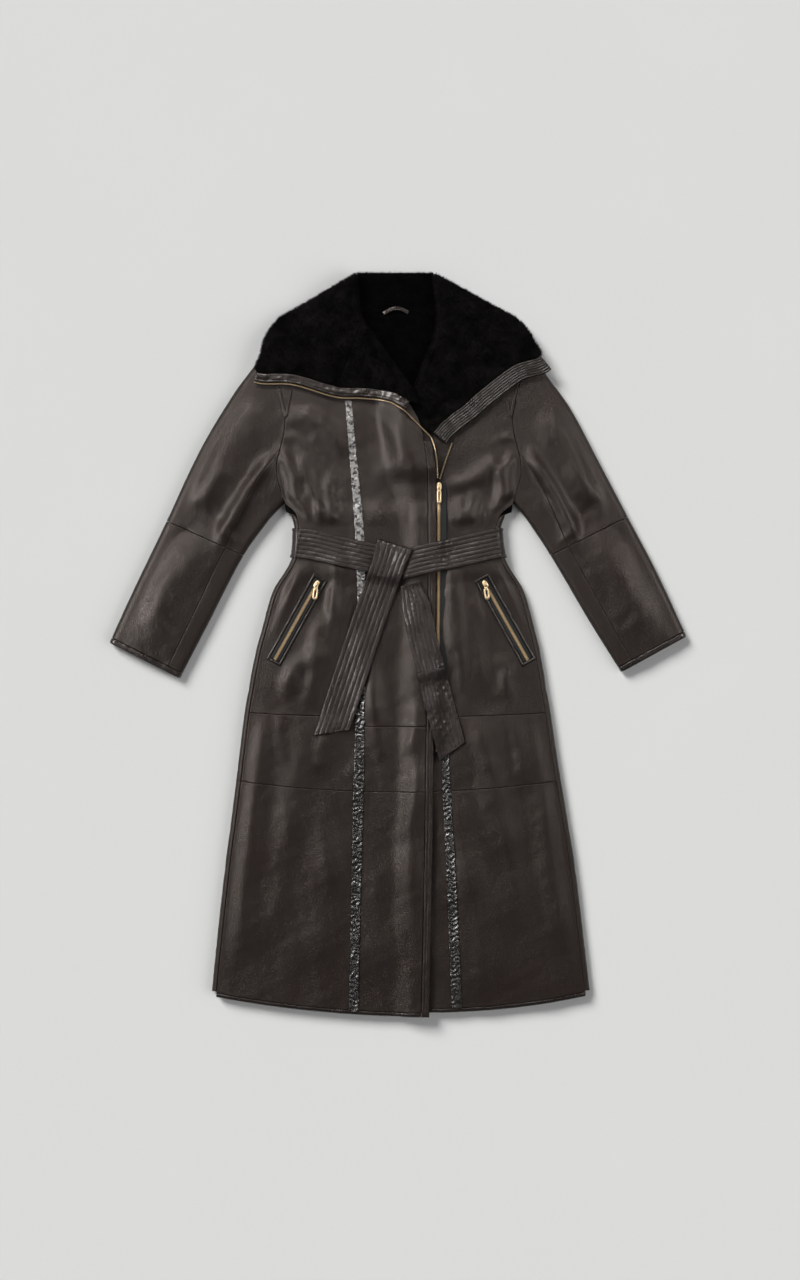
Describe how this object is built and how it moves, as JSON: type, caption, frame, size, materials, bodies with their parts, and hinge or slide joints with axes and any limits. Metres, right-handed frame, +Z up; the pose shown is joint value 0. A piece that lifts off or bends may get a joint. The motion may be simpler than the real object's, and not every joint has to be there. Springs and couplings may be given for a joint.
{
  "type": "shearling coat",
  "caption": "Long belted shearling coat laid flat, front up, with turned-out fur collar, asymmetric zip, tied belt and slanted zip pockets.",
  "frame": {"origin": "middle of the coat's bounding box, on the flat surface that it lies on", "axes": "+Y towards the collar, +Z up from the surface to the front of the coat, +X to the wearer's left"},
  "size_m": [0.9796, 1.2619, 0.0499],
  "materials": {
    "leather": "dark brown grained skin with a soft sheen, black pile inside",
    "shiny_tape": "glossy puckered leather tape",
    "fur": "black shorn fur",
    "brass": "pale gold zip metal on black tape"
  },
  "bodies": {
    "coat": {"back_left_lower": "leather", "back_left_upper": "leather", "back_right_lower": "leather", "back_right_upper": "leather", "band_left": "leather", "belt_back": "leather", "belt_end_left": "leather", "belt_end_right": "leather", "belt_left": "leather", "belt_right": "leather", "belt_tip_left": "leather", "binding_right": "leather", "collar_back": "fur", "collar_wing_left": "fur", "collar_wing_right": "fur", "cuff_left": "leather", "cuff_right": "leather", "facing_right": "leather", "front_left_lower": "leather", "front_left_middle": "leather", "front_left_upper": "leather", "front_right_centre_lower": "leather", "front_right_centre_middle": "leather", "front_right_centre_upper": "leather", "front_right_side_lower": "leather", "front_right_side_middle": "leather", "front_right_side_upper": "leather", "hanger_loop": "leather", "hem_back": "leather", "hem_left": "leather", "hem_right": "leather", "lapel_left": "fur", "lapel_right": "fur", "pocket_welt_left": "leather", "pocket_welt_right": "leather", "pocket_zip_left": "brass", "pocket_zip_right": "brass", "seam_tape_left": "shiny_tape", "seam_tape_right": "shiny_tape", "shoulder_strip_left": "leather", "shoulder_strip_right": "leather", "sleeve_left_top_lower": "leather", "sleeve_left_top_upper": "leather", "sleeve_left_under_lower": "leather", "sleeve_left_under_upper": "leather", "sleeve_right_top_lower": "leather", "sleeve_right_top_upper": "leather", "sleeve_right_under_lower": "leather", "sleeve_right_under_upper": "leather", "slider_main": "brass", "slider_pocket_left": "brass", "slider_pocket_right": "brass", "zip_half_left": "brass", "zip_half_right": "brass", "zip_main": "brass", "zip_stop": "brass"},
    "pull_main": {"pull_main": "brass"},
    "pull_pocket_right": {"pull_pocket_right": "brass"},
    "pull_pocket_left": {"pull_pocket_left": "brass"}
  },
  "joints": [
    {"name": "main_pull_swing", "type": "hinge", "parent": "coat", "child": "pull_main", "pos_m": [0.0697, 0.2676, 0.02745], "axis": [-1, 0, 0], "range_deg": [0, 150]},
    {"name": "pocket_right_pull_swing", "type": "hinge", "parent": "coat", "child": "pull_pocket_right", "pos_m": [-0.1378, 0.10176, 0.02941], "axis": [-0.9929, 0.1189, 0], "range_deg": [0, 150]},
    {"name": "pocket_left_pull_swing", "type": "hinge", "parent": "coat", "child": "pull_pocket_left", "pos_m": [0.14784, 0.10178, 0.02913], "axis": [-0.9901, -0.1403, 0], "range_deg": [0, 150]}
  ]
}
